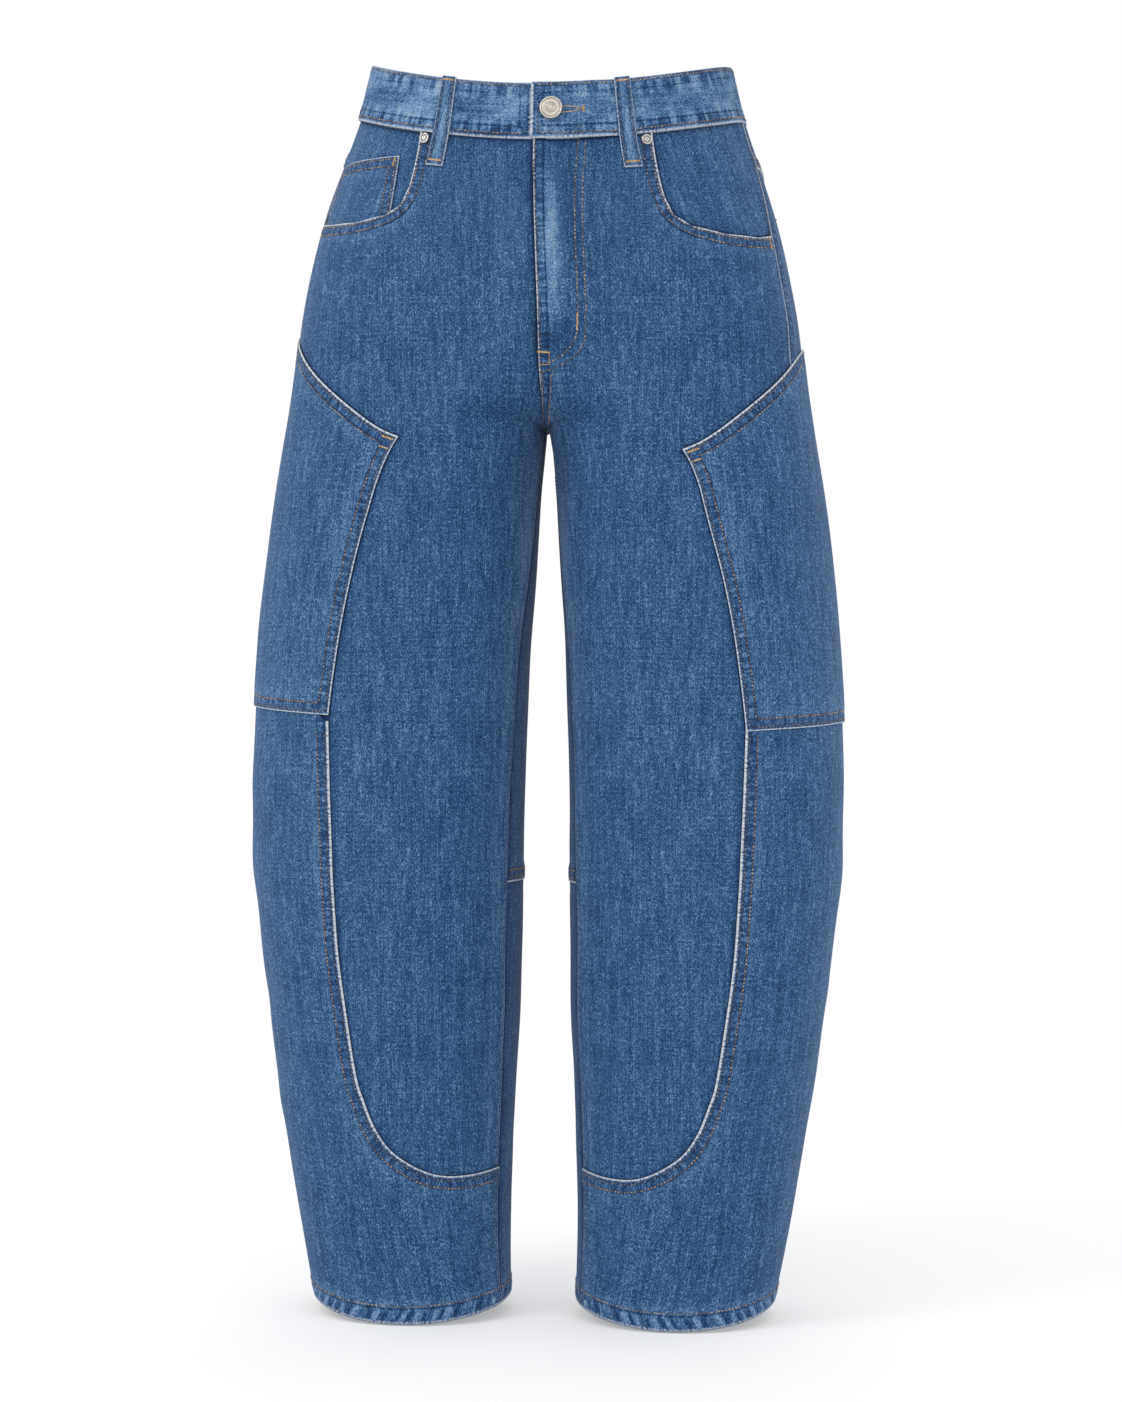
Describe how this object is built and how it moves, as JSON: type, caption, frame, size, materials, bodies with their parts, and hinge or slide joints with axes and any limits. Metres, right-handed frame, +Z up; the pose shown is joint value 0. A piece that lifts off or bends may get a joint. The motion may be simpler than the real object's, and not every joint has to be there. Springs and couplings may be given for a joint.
{
  "type": "barrel leg trousers",
  "caption": "Filled-out denim trousers with barrel-shaped legs, hollow and open at the waist and hems, with panels laid over the sides.",
  "frame": {"origin": "the middle of the waist opening, level with the middle of the waistband at the sides", "axes": "+Z up, the front faces -Y and the wearer's left is +X"},
  "size_m": [0.4728, 0.2437, 1.0018],
  "materials": {
    "denim": "washed mid-blue denim with tan topstitching and pale worn edges",
    "button": "aged warm silver, with plain rings",
    "rivets": "aged silver, with a plain ring"
  },
  "bodies": {
    "root": {"waistband": "denim", "fly_shield": "denim", "coin_pocket": "denim", "loop_centre_back": "denim", "front_left": "denim", "front_right": "denim", "facing_left": "denim", "facing_right": "denim", "side_patch_left": "denim", "side_patch_right": "denim", "side_lower_left": "denim", "side_lower_right": "denim", "yoke_left": "denim", "yoke_right": "denim", "back_upper_left": "denim", "back_upper_right": "denim", "back_lower_left": "denim", "back_lower_right": "denim", "back_pocket_left": "denim", "back_pocket_right": "denim", "loop_front_left": "denim", "loop_front_right": "denim", "loop_back_left": "denim", "loop_back_right": "denim", "button": "button", "rivet_left": "rivets", "rivet_right": "rivets"}
  },
  "joints": []
}
